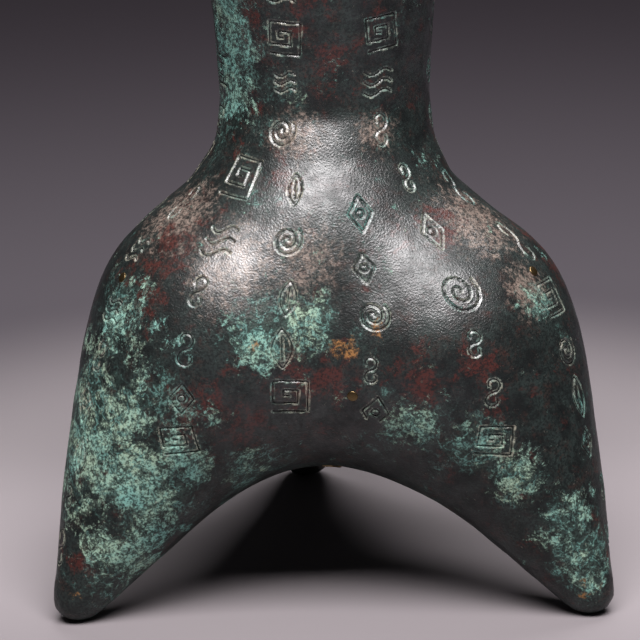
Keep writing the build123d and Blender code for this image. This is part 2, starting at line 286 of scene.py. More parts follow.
# Wax: little on the legs, full from a height up, patchy, and worn off the crust and some places
WAX_HEIGHTS = (40 * MM, 88 * MM)
WAX_COVER = (0.12, 1.0)
WAX_PATCHINESS = (1.0, 0.45)
WAX_ON_CRUST = (1.0, 0.15)
WAX_GRAIN_RISE = 0.12 * MM
WAX_IOR = 2.05
WAX_ROUGHNESS = 0.31
MATTE_PLACES = (
    ((3, -33, 111), 22),
    ((24, -45, 94), 18),
)
MATTE_PULL = 0.6

# Floor: a painted pool of light behind the vessel's middle, then two falls into painted shade
FLOOR_SIZE = 8.0
PAINTED_LIGHT_POOL = (0.0, 0.05, 0.0)
PAINTED_SHADE_EDGE = (0.10, 0.24)
PAINTED_SHADE_FAR = (0.24, 0.80)
FLOOR_ROUGHNESS = 0.6

# Light and lens
LAMPS = (
    Lamp("key_softbox", azimuth=2, elevation=61, distance=0.90, width=0.70, height=0.40, power=15.0),
    Lamp("back_softbox", azimuth=160, elevation=67, distance=0.90, width=0.70, height=0.26, power=5.6),
)
LAMP_AIM_Z = 60 * MM
LAMP_TINT = (1.0, 0.965, 0.975)
AIR_COLOUR = (0.9, 0.9, 0.95, 1)
AIR_STRENGTH = 0.015
SENSOR_WIDTH = 36.0


class PourerSizes(bpy.types.PropertyGroup):
    """Sizes of the castings' surface and of the chased lines."""

    casting_voxel: bpy.props.FloatProperty(
        name="Casting grain",
        description="Mesh size of the lower casting",
        default=1.7 * MM,
        unit="LENGTH",
    )
    cup_voxel: bpy.props.FloatProperty(
        name="Cup grain",
        description="Mesh size of the cup",
        default=0.55 * MM,
        unit="LENGTH",
    )
    fitting_voxel: bpy.props.FloatProperty(
        name="Fitting grain",
        description="Mesh size of handle, posts and caps",
        default=0.5 * MM,
        unit="LENGTH",
    )
    hand_wobble: bpy.props.FloatProperty(
        name="Hand wobble",
        description="Height of the casting's soft unevenness",
        default=0.35 * MM,
        unit="LENGTH",
    )
    groove_width: bpy.props.FloatProperty(
        name="Groove width",
        description="Width of a chased line",
        default=0.85 * MM,
        unit="LENGTH",
    )
    groove_depth: bpy.props.FloatProperty(
        name="Groove depth",
        description="Depth of a chased line",
        default=0.42 * MM,
        unit="LENGTH",
    )
    burr_height: bpy.props.FloatProperty(
        name="Burr",
        description="Metal raised beside a chased line",
        default=0.05 * MM,
        unit="LENGTH",
    )
    spacer_rise: bpy.props.FloatProperty(
        name="Spacer rise",
        description="How far pins and chaplets stand proud",
        default=0.40 * MM,
        unit="LENGTH",
    )
    pin_radius: bpy.props.FloatProperty(
        name="Pin radius",
        description="Radius of a core pin where it shows",
        default=1.4 * MM,
        unit="LENGTH",
    )
    mark_size: bpy.props.FloatProperty(
        name="Mark size",
        description="Height of one chased motif",
        default=8.6 * MM,
        unit="LENGTH",
    )


class PourerColours(bpy.types.PropertyGroup):
    """Colours of the bronze and of what grows on it."""

    bronze: bpy.props.FloatVectorProperty(
        name="Bronze",
        description="Dark waxed skin",
        subtype="COLOR",
        size=4,
        default=(0.006, 0.008, 0.008, 1),
    )
    smoke: bpy.props.FloatVectorProperty(
        name="Smoke",
        description="Greyer skin between patches",
        subtype="COLOR",
        size=4,
        default=(0.026, 0.038, 0.035, 1),
    )
    umber: bpy.props.FloatVectorProperty(
        name="Umber",
        description="Brown skin",
        subtype="COLOR",
        size=4,
        default=(0.040, 0.022, 0.018, 1),
    )
    sage: bpy.props.FloatVectorProperty(
        name="Sage",
        description="Pale grey-green mineral",
        subtype="COLOR",
        size=4,
        default=(0.44, 0.60, 0.44, 1),
    )
    malachite: bpy.props.FloatVectorProperty(
        name="Malachite",
        description="Green mineral",
        subtype="COLOR",
        size=4,
        default=(0.05, 0.09, 0.075, 1),
    )
    turquoise: bpy.props.FloatVectorProperty(
        name="Turquoise",
        description="Blue-green mineral",
        subtype="COLOR",
        size=4,
        default=(0.24, 0.52, 0.46, 1),
    )
    cuprite: bpy.props.FloatVectorProperty(
        name="Cuprite",
        description="Red-brown mineral",
        subtype="COLOR",
        size=4,
        default=(0.085, 0.019, 0.014, 1),
    )
    ochre: bpy.props.FloatVectorProperty(
        name="Ochre",
        description="Soil stain",
        subtype="COLOR",
        size=4,
        default=(0.50, 0.24, 0.08, 1),
    )
    # Warm pale colour that is partly a real layer and partly painted highlight on the shoulders, lobes and
    # neck base
    dust_and_sheen: bpy.props.FloatVectorProperty(
        name="Dust",
        description="Warm pale film on rubbed places",
        subtype="COLOR",
        size=4,
        default=(0.38, 0.29, 0.24, 1),
    )
    cream: bpy.props.FloatVectorProperty(
        name="Cream",
        description="Pale crust specks",
        subtype="COLOR",
        size=4,
        default=(0.74, 0.69, 0.54, 1),
    )


class PourerStage(bpy.types.PropertyGroup):
    """Floor, light and camera."""

    # Colour inside the painted pool of light on the floor
    floor_near: bpy.props.FloatVectorProperty(
        name="Floor",
        description="Pale floor round the vessel",
        subtype="COLOR",
        size=4,
        default=(0.300, 0.271, 0.284, 1),
    )
    # Colour of the floor's painted shade behind the painted pool of light
    floor_painted_shade: bpy.props.FloatVectorProperty(
        name="Back floor",
        description="Floor behind the pale part",
        subtype="COLOR",
        size=4,
        default=(0.084, 0.074, 0.086, 1),
    )
    # Colour of the floor's painted deep shade far from the vessel
    floor_painted_deep_shade: bpy.props.FloatVectorProperty(
        name="Far floor",
        description="Floor where it falls into shade",
        subtype="COLOR",
        size=4,
        default=(0.052, 0.043, 0.053, 1),
    )
    camera_distance: bpy.props.FloatProperty(
        name="Camera distance",
        description="From the lens to the vessel's axis",
        default=0.9,
        unit="LENGTH",
    )
    camera_elevation: bpy.props.FloatProperty(
        name="Camera elevation",
        description="Angle above the floor",
        default=math.radians(15.84),
        subtype="ANGLE",
    )
    camera_azimuth: bpy.props.FloatProperty(
        name="Camera azimuth",
        description="Angle about the vessel",
        default=math.radians(0.25),
        subtype="ANGLE",
    )
    camera_roll: bpy.props.FloatProperty(
        name="Camera roll",
        description="Tilt of the picture",
        default=math.radians(-1.42),
        subtype="ANGLE",
    )
    camera_shift_x: bpy.props.FloatProperty(
        name="Aim sideways",
        description="Sideways place that the camera looks at",
        default=-2.84 * MM,
        unit="LENGTH",
    )
    camera_aim_z: bpy.props.FloatProperty(
        name="Aim height",
        description="Height that the camera looks at",
        default=68.64 * MM,
        unit="LENGTH",
    )
    lens: bpy.props.FloatProperty(
        name="Lens",
        description="Focal length in millimetres on a 36 mm sensor",
        default=190.68,
    )


def settings():
    """The three property groups."""
    scene = bpy.context.scene
    return scene.pourer_sizes, scene.pourer_colours, scene.pourer_stage


def only(piece):
    """Makes one object the only selected and active one."""
    bpy.ops.object.select_all(action="DESELECT")
    piece.select_set(True)
    bpy.context.view_layer.objects.active = piece


def modify(piece, kind, **values):
    """Adds one modifier and applies it."""
    only(piece)
    modifier = piece.modifiers.new(kind.lower(), kind)
    for key, value in values.items():
        setattr(modifier, key, value)
    bpy.ops.object.modifier_apply(modifier=modifier.name)


def copy_nodes(name, nodes):
    """One new merged mesh at the origin from copies of CAD nodes."""
    copies = []
    for node in nodes:
        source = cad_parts[node]
        copy = source.copy()
        copy.data = source.data.copy()
        bpy.context.collection.objects.link(copy)
        copy.parent = None
        copy.matrix_world = source.matrix_world
        copies.append(copy)
    only(copies[0])
    for copy in copies:
        copy.select_set(True)
    if len(copies) > 1:
        bpy.ops.object.join()
    piece = bpy.context.view_layer.objects.active
    bpy.ops.object.transform_apply(location=True, rotation=True, scale=True)
    bpy.ops.object.mode_set(mode="EDIT")
    bpy.ops.mesh.select_all(action="SELECT")
    bpy.ops.mesh.remove_doubles(threshold=MERGE_DISTANCE)
    bpy.ops.object.mode_set(mode="OBJECT")
    piece.name = name
    piece.data.name = name
    piece.data.materials.clear()
    return piece


def even_skin(piece, voxel, rounds):
    """Remeshes a piece evenly, then smooths it without shrinking it."""
    modify(piece, "REMESH", mode="VOXEL", voxel_size=voxel, use_smooth_shade=True)
    for _ in range(rounds):
        modify(piece, "SMOOTH", factor=SMOOTH_IN, iterations=1)
        modify(piece, "SMOOTH", factor=SMOOTH_OUT, iterations=1)
    only(piece)
    bpy.ops.object.shade_smooth()


def read_points(piece):
    """Vertex places of a mesh as an array."""
    places = np.empty(len(piece.data.vertices) * 3)
    piece.data.vertices.foreach_get("co", places)
    return places.reshape(-1, 3)


def write_points(piece, places):
    """Moves the vertices of a mesh."""
    piece.data.vertices.foreach_set("co", places.ravel())
    piece.data.update()


# Chased motifs, each a list of lines in a square of side 1 about its middle


def round_spiral():
    """A cloud scroll that winds two turns outwards."""
    steps = 60
    turns = 2.1
    start = 0.05
    growth = 0.45
    line = []
    for step in range(steps + 1):
        share = step / steps
        angle = math.tau * turns * share
        radius = start + growth * share
        line.append((radius * math.cos(angle), radius * math.sin(angle)))
    return [line]


def thunder_square():
    """A square thunder spiral."""
    outer = 0.48
    inner = 0.2
    end = 0.02
    line = [(-outer, -outer), (outer, -outer), (outer, outer), (-outer, outer), (-outer, -inner)]
    line += [(inner, -inner), (inner, inner), (-inner, inner), (-inner, end), (-end, end)]
    return [line]


def lozenge():
    """A diamond round a small ring."""
    half_width = 0.36
    half_height = 0.5
    radius = 0.11
    steps = 16
    diamond = [(0, half_height), (half_width, 0), (0, -half_height), (-half_width, 0), (0, half_height)]
    ring = [(radius * math.cos(turn), radius * math.sin(turn)) for turn in np.linspace(0, math.tau, steps)]
    return [diamond, ring]


def twin_scroll():
    """Two hooks that turn away from each other."""
    steps = 30
    turn = 0.85
    start = 0.25
    shrink = 0.12
    hook = []
    for share in np.linspace(0, 1, steps):
        angle = -math.pi / 2 + math.tau * turn * share
        radius = start - shrink * share
        hook.append((radius * math.cos(angle), start + radius * math.sin(angle)))
    return [hook, [(-u, -v) for u, v in hook]]


def leaf():
    """A pointed leaf with its midrib."""
    steps = 20
    half_width = 0.24
    rib = 0.3
    side = [(half_width * math.sin(math.pi * share), share - 0.5) for share in np.linspace(0, 1, steps)]
    return [side, [(-u, v) for u, v in side], [(0, -rib), (0, rib)]]


def waves():
    """Three waves above each other."""
    steps = 24
    reach = 0.42
    height = 0.09
    bends = 7.5
    gap = 0.28
    shares = np.linspace(-reach, reach, steps)
    return [[(u, level + height * math.sin(bends * u)) for u in shares] for level in (-gap, 0, gap)]


MOTIFS = (round_spiral, thunder_square, lozenge, twin_scroll, leaf, waves)


def wall_hit(piece, angle, z):
    """Outermost point of a piece at an angle about the neck and a height, or None."""
    out = Vector((math.cos(angle), math.sin(angle), 0.0))
    hit, place, normal, _ = piece.ray_cast(Vector((0, 0, z)) + out * RAY_START, -out)
    if not hit or place.dot(out) < 0 or normal.z < LEAST_UPRIGHT:
        return None
    return place


def lay_line(piece, line, angle, z, size, lean, step):
    """Points of one motif line laid on a piece round a place on its wall."""
    middle = wall_hit(piece, angle, z)
    radius = math.hypot(middle.x, middle.y)
    cos_lean = math.cos(lean) * size
    sin_lean = math.sin(lean) * size
    points = []
    for (u0, v0), (u1, v1) in zip(line, line[1:]):
        count = max(1, round(math.hypot(u1 - u0, v1 - v0) * size / step))
        for part in range(count):
            u = u0 + (u1 - u0) * part / count
            v = v0 + (v1 - v0) * part / count
            across = u * cos_lean - v * sin_lean
            up = u * sin_lean + v * cos_lean
            place = wall_hit(piece, angle + across / radius, z + up)
            if place is not None:
                points.append(place)
    return points


def column_points(piece, sizes, chance, angle, top_z, rows):
    """Points of the chased lines in one column of motifs, from its top downwards."""
    step = sizes.groove_width / POINTS_PER_WIDTH
    points = []
    for row in range(rows):
        turn = angle + math.radians(chance.uniform(-TURN_SPREAD, TURN_SPREAD))
        z = top_z - row * ROW_STEP + chance.uniform(-ROW_SPREAD, ROW_SPREAD) * MM
        lean = math.radians(chance.uniform(-LEAN_SPREAD, LEAN_SPREAD))
        size = sizes.mark_size * chance.uniform(*SIZE_SPREAD)
        motif = chance.choice(MOTIFS)
        if wall_hit(piece, turn, z) is None:
            continue
        for line in motif():
            points += lay_line(piece, line, turn, z, size, lean, step)
    return points


def ornament_points(piece, sizes):
    """Points of all chased lines: staggered columns round the belly and columns on the neck."""
    chance = random.Random(ORNAMENT_SEED)
    points = []
    for count in range(BELLY_COLUMNS):
        angle = math.radians(BELLY_FIRST_ANGLE + count * 360 / BELLY_COLUMNS)
        top_z = BELLY_TOP_Z - (count % 2) * ROW_STEP / 2
        points += column_points(piece, sizes, chance, angle, top_z, BELLY_ROWS)
    for count in range(NECK_COLUMNS):
        angle = math.radians(NECK_FIRST_ANGLE + count * 360 / NECK_COLUMNS)
        points += column_points(piece, sizes, chance, angle, NECK_TOP_Z, NECK_ROWS)
    return points


def whorl_points(cap):
    """Points of curved rays that turn about the top of a post cap."""
    low, high = (Vector(cap.bound_box[corner]) for corner in (0, 6))
    middle = (low + high) / 2
    reach = (high.x - low.x) / 2
    points = []
    for ray in range(WHORL_RAYS):
        for share in np.linspace(*WHORL_SPAN, WHORL_STEPS):
            angle = math.tau * ray / WHORL_RAYS + WHORL_TURN * share
            side = Vector((math.cos(angle), math.sin(angle), 0)) * reach * share
            above = Vector((middle.x, middle.y, high.z + reach)) + side
            hit, place, _, _ = cap.ray_cast(above, Vector((0, 0, -1)))
            if hit:
                points.append(place)
    return points


def chase(piece, points, sizes, voxel, cuts):
    """Cuts grooves with a small burr along points on a piece, in a mesh that is refined there."""
    tree = KDTree(len(points))
    for index, point in enumerate(points):
        tree.insert(point, index)
    tree.balance()
    half = sizes.groove_width / 2
    reach = half + 2 * BURR_WIDTH
    only(piece)
    bpy.ops.object.mode_set(mode="EDIT")
    bpy.ops.mesh.select_all(action="DESELECT")
    bpy.ops.object.mode_set(mode="OBJECT")
    for face in piece.data.polygons:
        face.select = tree.find(face.center)[2] < reach + voxel / 2
    bpy.ops.object.mode_set(mode="EDIT")
    bpy.ops.mesh.subdivide(number_cuts=cuts, smoothness=0, ngon=True)
    bpy.ops.object.mode_set(mode="OBJECT")
    places = read_points(piece)
    groove = np.zeros(len(places))
    for index, vertex in enumerate(piece.data.vertices):
        distance = tree.find(vertex.co)[2]
        if distance > reach:
            continue
        share = max(0.0, 1 - distance / half)
        cut = share * share * (3 - 2 * share)
        burr = math.exp(-(((distance - half - BURR_WIDTH / 2) / (BURR_WIDTH / 2)) ** 2))
        groove[index] = max(cut, BURR_MARK * burr)
        rise = sizes.burr_height * burr - sizes.groove_depth * cut
        places[index] += np.array(vertex.normal) * rise
    attribute = piece.data.attributes.new("groove", "FLOAT", "POINT")
    write_points(piece, places)
    attribute.data.foreach_set("value", groove)


# Shader building


class Graph:
    """Adds nodes to one node tree and links them."""

    def __init__(self, tree):
        self.tree = tree

    def add(self, kind, inputs=(), **values):
        """One node with its settings; an input value is a constant or another node's socket."""
        node = self.tree.nodes.new(kind)
        for key, value in values.items():
            setattr(node, key, value)
        for key, value in dict(inputs).items():
            self.join(value, node.inputs[key])
        return node

    def join(self, value, socket):
        """Links a socket, or sets a constant."""
        if isinstance(value, bpy.types.NodeSocket):
            self.tree.links.new(value, socket)
        else:
            socket.default_value = value

    def math(self, operation, first, second=0.0):
        """Result of one sum."""
        return self.add("ShaderNodeMath", {0: first, 1: second}, operation=operation).outputs[0]

    def times(self, first, second):
        """Product of two values."""
        return self.math("MULTIPLY", first, second)

    def mix(self, factor, first, second):
        """Colour between two colours."""
        return self.add("ShaderNodeMix", {0: factor, 6: first, 7: second}, data_type="RGBA").outputs[2]

    def ramp(self, value, low, high, start=0.0, end=1.0):
        """Soft step of a value between two levels."""
        inputs = {"Value": value, "From Min": low, "From Max": high, "To Min": start, "To Max": end}
        return self.add("ShaderNodeMapRange", inputs, interpolation_type="SMOOTHSTEP").outputs[0]

    def between(self, mask, start, end):
        """Value that runs softly from one at no mask to another at a full mask."""
        return self.ramp(mask, 0.0, 1.0, start, end)

    def noise(self, vector, grain):
        """Noise of a grain."""
        inputs = {"Vector": vector, "W": grain.seed, "Scale": 1 / grain.size}
        inputs.update({"Detail": grain.detail, "Roughness": grain.roughness})
        return self.add("ShaderNodeTexNoise", inputs, noise_dimensions="4D").outputs["Fac"]

    def place(self):
        """Place on the vessel in the frame's metres."""
        return self.add("ShaderNodeTexCoord").outputs["Object"]


def new_group(name, vectors, numbers, outputs):
    """Empty shader node group with its named inputs and outputs, and the nodes for both."""
    tree = bpy.data.node_groups.new(name, "ShaderNodeTree")
    for key in vectors:
        tree.interface.new_socket(name=key, in_out="INPUT", socket_type="NodeSocketVector")
    for key in numbers:
        tree.interface.new_socket(name=key, in_out="INPUT", socket_type="NodeSocketFloat")
    for key in outputs:
        tree.interface.new_socket(name=key, in_out="OUTPUT", socket_type="NodeSocketFloat")
    graph = Graph(tree)
    return graph, graph.add("NodeGroupInput"), graph.add("NodeGroupOutput")


def group_noise(graph, given, values):
    """Noise inside a group, with the group's own place, seed and scale."""
    inputs = {"Vector": given.outputs["Vector"], "W": given.outputs["Seed"], "Scale": given.outputs["Scale"]}
    inputs.update(values)
    return graph.add("ShaderNodeTexNoise", inputs, noise_dimensions="4D").outputs["Fac"]


def make_patch_group():
    """Mineral patches with ragged edges: where noise passes a level."""
    numbers = ("Scale", "Seed", "Level", "Softness", "Bias")
    graph, given, result = new_group("Mineral patches", ("Vector",), numbers, ("Mask",))
    level = graph.math("SUBTRACT", given.outputs["Level"], given.outputs["Bias"])
    low = graph.math("SUBTRACT", level, given.outputs["Softness"])
    high = graph.math("ADD", level, given.outputs["Softness"])
    graph.join(graph.ramp(group_noise(graph, given, PATCH_NOISE), low, high), result.inputs["Mask"])


def make_vein_group():
    """A net of fine branching veins: where noise is close to its middle value."""
    graph, given, result = new_group("Veins", ("Vector",), ("Scale", "Seed", "Width"), ("Mask",))
    away = graph.math("SUBTRACT", group_noise(graph, given, VEIN_NOISE), 0.5)
    away = graph.math("ABSOLUTE", away)
    graph.join(graph.ramp(away, given.outputs["Width"], 0.0), result.inputs["Mask"])


def make_near_group():
    """Soft ball about a place, used to gather a mineral there."""
    graph, given, result = new_group("Near a place", ("Vector", "Place"), ("Reach",), ("Mask",))
    pair = {0: given.outputs["Vector"], 1: given.outputs["Place"]}
    far = graph.add("ShaderNodeVectorMath", pair, operation="DISTANCE").outputs["Value"]
    graph.join(graph.ramp(far, given.outputs["Reach"], 0.0), result.inputs["Mask"])


def make_skin_group():
    """Fine relief of old waxed bronze, in millimetres, and the unevenness of its gloss."""
    graph, given, result = new_group("Old skin", ("Vector",), ("Crust",), ("Height", "Gloss"))
    vector = given.outputs["Vector"]
    turn = {"Vector": vector, "Rotation": WIPE_TURN, "Scale": WIPE_STRETCH}
    wiped = graph.add("ShaderNodeMapping", turn).outputs["Vector"]
    layers = (
        (graph.noise(vector, SKIN_GRAIN), SKIN_RISE),
        (graph.noise(wiped, WIPED_GRAIN), WIPED_RISE),
        (graph.ramp(graph.noise(vector, HOLLOW_GRAIN), *HOLLOW_LEVELS), HOLLOW_RISE),
        (graph.noise(vector, SWELL_GRAIN), SWELL_RISE),
        (given.outputs["Crust"], CRUST_RISE),
    )
    height = 0.0
    for layer, rise in layers:
        height = graph.math("ADD", height, graph.times(layer, rise))
    graph.join(height, result.inputs["Height"])
    gloss = graph.ramp(graph.noise(vector, GLOSS_GRAIN), *GLOSS_LEVELS)
    graph.join(gloss, result.inputs["Gloss"])


class Patina:
    """The waxed bronze: masks of its minerals from the shared node groups, then colour, relief and wax."""

    def __init__(self, tree):
        self.graph = Graph(tree)
        self.shader = tree.nodes["Principled BSDF"]
        self.place = self.graph.place()
        near_green = self.gathered(GREEN_PLACES, GREEN_PULL)
        self.region = self.patches(GREEN_REGIONS, near_green)
        self.green = self.patches(GREEN_PATCHES, near_green)
        self.red = self.patches(RED_PATCHES, self.gathered(RED_PLACES, RED_PULL))
        self.soil = self.patches(OCHRE_STAINS, self.gathered(OCHRE_PLACES, OCHRE_PULL))
        # Warm pale layer gathered where highlights fall: partly painted highlight
        self.film_and_highlight = self.patches(DUST_AND_HIGHLIGHT_FILM, self.gathered(DUST_AND_HIGHLIGHT_PLACES, DUST_AND_HIGHLIGHT_PULL))
        self.specks = self.patches(CRUST_SPECKS)
        self.tint = self.patches(GREEN_TINTS)
        crumbs = self.graph.between(self.patches(GREEN_CRUMBS), *CRUMB_COVER)
        self.pale = self.graph.times(self.green, crumbs)
        self.crusted = self.graph.math("MAXIMUM", self.pale, self.soil)
        self.skin = self.call("Old skin", Crust=self.graph.math("ADD", self.green, self.specks)).outputs

    def call(self, group, **inputs):
        """One of the shared node groups, placed in this material."""
        values = {"Vector": self.place, **inputs}
        return self.graph.add("ShaderNodeGroup", values, node_tree=bpy.data.node_groups[group])

    def patches(self, patch, bias=0.0):
        """Mask of a mineral's patches."""
        inputs = {"Scale": 1 / patch.size, "Seed": patch.seed, "Level": patch.level}
        inputs.update({"Softness": patch.softness, "Bias": bias})
        return self.call("Mineral patches", **inputs).outputs["Mask"]

    def gathered(self, places, strength):
        """How much a mineral gathers about its places."""
        total = 0.0
        for point, reach in places:
            place = [value * MM for value in point]
            near = self.call("Near a place", Place=place, Reach=reach * MM).outputs["Mask"]
            total = self.graph.math("MAXIMUM", total, near)
        return self.graph.times(total, strength)

    def paint(self):
        """Layers of skin, minerals and dirt, from the metal outwards, and the grooves; the warm pale layer
        is partly painted highlight, the groove edges are partly painted highlight and the groove bottoms are
        painted shade.
        """
        _, colours, _ = settings()
        graph = self.graph
        veins = self.call("Veins", Scale=1 / VEIN_SIZE, Seed=VEIN_SEED, Width=VEIN_WIDTH).outputs["Mask"]
        bloom = graph.mix(self.tint, tuple(colours.sage), tuple(colours.turquoise))
        pits = graph.ramp(graph.noise(self.place, PIT_GRAIN), *PIT_LEVELS, *PIT_COVER)
        # Groove edges get a pale crust that is partly painted highlight; groove bottoms get the dark metal
        # colour as painted shade
        groove = graph.add("ShaderNodeAttribute", attribute_name="groove").outputs["Fac"]
        deposit_and_glint = graph.mix(self.tint, tuple(colours.cream), tuple(colours.turquoise))
        edge = graph.times(
            graph.ramp(groove, EDGE_BEGINS, EDGE_FULL), graph.ramp(groove, EDGE_ENDS, EDGE_FULL)
        )
        layers = (
            (self.patches(DULL_SKIN), tuple(colours.smoke)),
            (self.patches(BROWN_SKIN), tuple(colours.umber)),
            # Warm pale layer: partly real, partly painted highlight
            (graph.times(self.film_and_highlight, FILM_AND_HIGHLIGHT_COVER), tuple(colours.dust_and_sheen)),
            (graph.times(self.red, RED_COVER), tuple(colours.cuprite)),
            (graph.times(self.region, REGION_COVER), tuple(colours.malachite)),
            (graph.times(self.pale, GREEN_COVER), bloom),
            (graph.times(graph.times(veins, self.region), VEIN_COVER), tuple(colours.turquoise)),
            (graph.times(self.specks, graph.between(self.region, *SPECK_COVER)), tuple(colours.cream)),
            (graph.times(self.soil, OCHRE_COVER), tuple(colours.ochre)),
            (pits, tuple(colours.bronze)),
            # Pale crust and painted highlight on the groove edges
            (graph.times(edge, graph.between(self.patches(GROOVE_CRUST_AND_GLINT), *EDGE_COVER)), deposit_and_glint),
            # Painted shade at the groove bottoms
            (graph.ramp(groove, *BOTTOM_MARKS, *BOTTOM_COVER), tuple(colours.bronze)),
        )
        colour = tuple(colours.bronze)
        for mask, layer in layers:
            colour = graph.mix(mask, colour, layer)
        graph.join(colour, self.shader.inputs["Base Color"])

    def roughen(self):
        """Fine relief, and the roughness that goes with it."""
        graph = self.graph
        bump = graph.add("ShaderNodeBump", {"Height": self.skin["Height"], "Distance": MM})
        graph.join(bump.outputs["Normal"], self.shader.inputs["Normal"])
        rough = graph.between(self.skin["Gloss"], *ROUGHNESS)
        rough = graph.math("ADD", rough, graph.times(self.crusted, CRUST_ROUGHNESS))
        graph.join(rough, self.shader.inputs["Roughness"])
        self.shader.inputs["IOR"].default_value = SKIN_IOR

    def wax(self):
        """Coat of wax with its own fine grain."""
        graph = self.graph
        height = graph.add("ShaderNodeSeparateXYZ", {"Vector": self.place}).outputs["Z"]
        waxed = graph.ramp(height, *WAX_HEIGHTS, *WAX_COVER)
        waxed = graph.times(waxed, graph.between(self.skin["Gloss"], *WAX_PATCHINESS))
        worn = graph.between(self.crusted, *WAX_ON_CRUST)
        worn = graph.math("SUBTRACT", worn, self.gathered(MATTE_PLACES, MATTE_PULL))
        coat = graph.math("MAXIMUM", graph.times(waxed, worn), 0.0)
        graph.join(coat, self.shader.inputs["Coat Weight"])
        grain = graph.noise(self.place, SKIN_GRAIN)
        bump = graph.add("ShaderNodeBump", {"Height": grain, "Distance": WAX_GRAIN_RISE})
        graph.join(bump.outputs["Normal"], self.shader.inputs["Coat Normal"])
        self.shader.inputs["Coat IOR"].default_value = WAX_IOR
        self.shader.inputs["Coat Roughness"].default_value = WAX_ROUGHNESS


def make_bronze():
    """Waxed dark bronze with mineral patches, and the node groups that it uses."""
    for make_group in (make_patch_group, make_vein_group, make_near_group, make_skin_group):
        make_group()
    material = bpy.data.materials.new("waxed_bronze")
    material.use_nodes = True
    patina = Patina(material.node_tree)
    patina.paint()
    patina.roughen()
    patina.wax()


def make_floor_material(stage):
    """Pale floor with a painted pool of light that falls into painted shade away from the vessel."""
    material = bpy.data.materials.new("pale_floor")
    material.use_nodes = True
    graph = Graph(material.node_tree)
    shader = material.node_tree.nodes["Principled BSDF"]
    pair = {0: graph.place(), 1: PAINTED_LIGHT_POOL}
    far = graph.add("ShaderNodeVectorMath", pair, operation="DISTANCE").outputs["Value"]
    # Painted pool of light, then painted shade, in the floor's colour
    edge = graph.mix(graph.ramp(far, *PAINTED_SHADE_EDGE), tuple(stage.floor_near), tuple(stage.floor_painted_shade))
    painted_shade = graph.mix(graph.ramp(far, *PAINTED_SHADE_FAR), edge, tuple(stage.floor_painted_deep_shade))
    graph.join(painted_shade, shader.inputs["Base Color"])
    shader.inputs["Roughness"].default_value = FLOOR_ROUGHNESS
    return material


def finish_piece(piece, material, slot, *nodes):
    """Gives a piece its material, and puts it on the vessel's one body in place of its CAD nodes."""
    piece.data.materials.clear()
    piece.data.materials.append(bpy.data.materials[material])
    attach(piece, BODY)
    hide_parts(*nodes)


def wobble(piece, height):
    """Soft unevenness of a hand-made mould."""
    places = read_points(piece)
    for index, vertex in enumerate(piece.data.vertices):
        swell = noise.noise(vertex.co / BROAD_SWELL) + FINE_SHARE * noise.noise(vertex.co / FINE_SWELL)
        places[index] += np.array(vertex.normal) * swell * height
    write_points(piece, places)


def keep_side(piece, z, above):
    """Cuts a piece level and keeps what is above or below."""
    only(piece)
    bpy.ops.object.mode_set(mode="EDIT")
    bpy.ops.mesh.select_all(action="SELECT")
    bpy.ops.mesh.bisect(
        plane_co=(0, 0, z), plane_no=(0, 0, 1), use_fill=True, clear_inner=above, clear_outer=not above
    )
    bpy.ops.object.mode_set(mode="OBJECT")
    bpy.ops.object.shade_smooth_by_angle(angle=CUT_EDGE)


def flatten_above(piece, z):
    """Presses what stands above a height down to it."""
    places = read_points(piece)
    places[:, 2] = np.minimum(places[:, 2], z)
    write_points(piece, places)


def spigot_ring():
    """Ring that stands up from the neck into the cup, as wide as the solid's own."""
    source = copy_nodes("neck_spigot", ["lower_body"])
    places = read_points(source)
    radii = np.hypot(*places[places[:, 2] > SEAM_Z + SPIGOT_LENGTH / 2, :2].T)
    bpy.ops.object.delete()
    bpy.ops.mesh.primitive_cylinder_add(
        vertices=SPIGOT_SIDES, radius=radii.max(), depth=2 * SPIGOT_LENGTH,
        location=(0, 0, SEAM_Z), end_fill_type="NOTHING",
    )
    ring = bpy.context.object
    bpy.ops.object.transform_apply(location=True, rotation=True, scale=True)
    modify(ring, "SOLIDIFY", thickness=float(radii.max() - radii.min()), offset=-1.0)
    bpy.ops.object.shade_smooth_by_angle(angle=SHARP_EDGE)
    return ring


class POURER_OT_lower_casting(bpy.types.Operator):
    """Belly, legs and neck with chased ornament, and the three foot tips."""

    bl_idname = "pourer.lower_casting"
    bl_label = "Lower casting"

    def execute(self, context):
        sizes, _, _ = settings()
        make_bronze()
        nodes = ("lower_body", "core_pins", "bottom_chaplets") + FOOT_NODES
        casting = copy_nodes("belly_and_neck", nodes)
        even_skin(casting, sizes.casting_voxel, CASTING_ROUNDS)
        wobble(casting, sizes.hand_wobble)
        flatten_above(casting, SEAM_Z)
        context.view_layer.update()
        chase(casting, ornament_points(casting, sizes), sizes, sizes.casting_voxel, GROOVE_CUTS)
        modify(casting, "DECIMATE", ratio=CASTING_KEPT)
        tips = casting.copy()
        tips.data = casting.data.copy()
        context.collection.objects.link(tips)
        keep_side(casting, FOOT_JOINT_Z, True)
        spigot = spigot_ring()
        only(casting)
        spigot.select_set(True)
        bpy.ops.object.join()
        keep_side(tips, FOOT_JOINT_Z, False)
        bpy.ops.object.mode_set(mode="EDIT")
        bpy.ops.mesh.separate(type="LOOSE")
        bpy.ops.object.mode_set(mode="OBJECT")
        finish_piece(casting, "waxed_bronze", "patinated_bronze", "lower_body")
        for tip in list(context.selected_objects):
            middle = Vector(read_points(tip).mean(axis=0))
            node = min(FOOT_NODES, key=lambda name: (sum(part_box(name), Vector()) / 2 - middle).length)
            tip.name = node.replace("foot_tip", "worn_foot")
            finish_piece(tip, "waxed_bronze", "patinated_bronze", node)
        return {"FINISHED"}


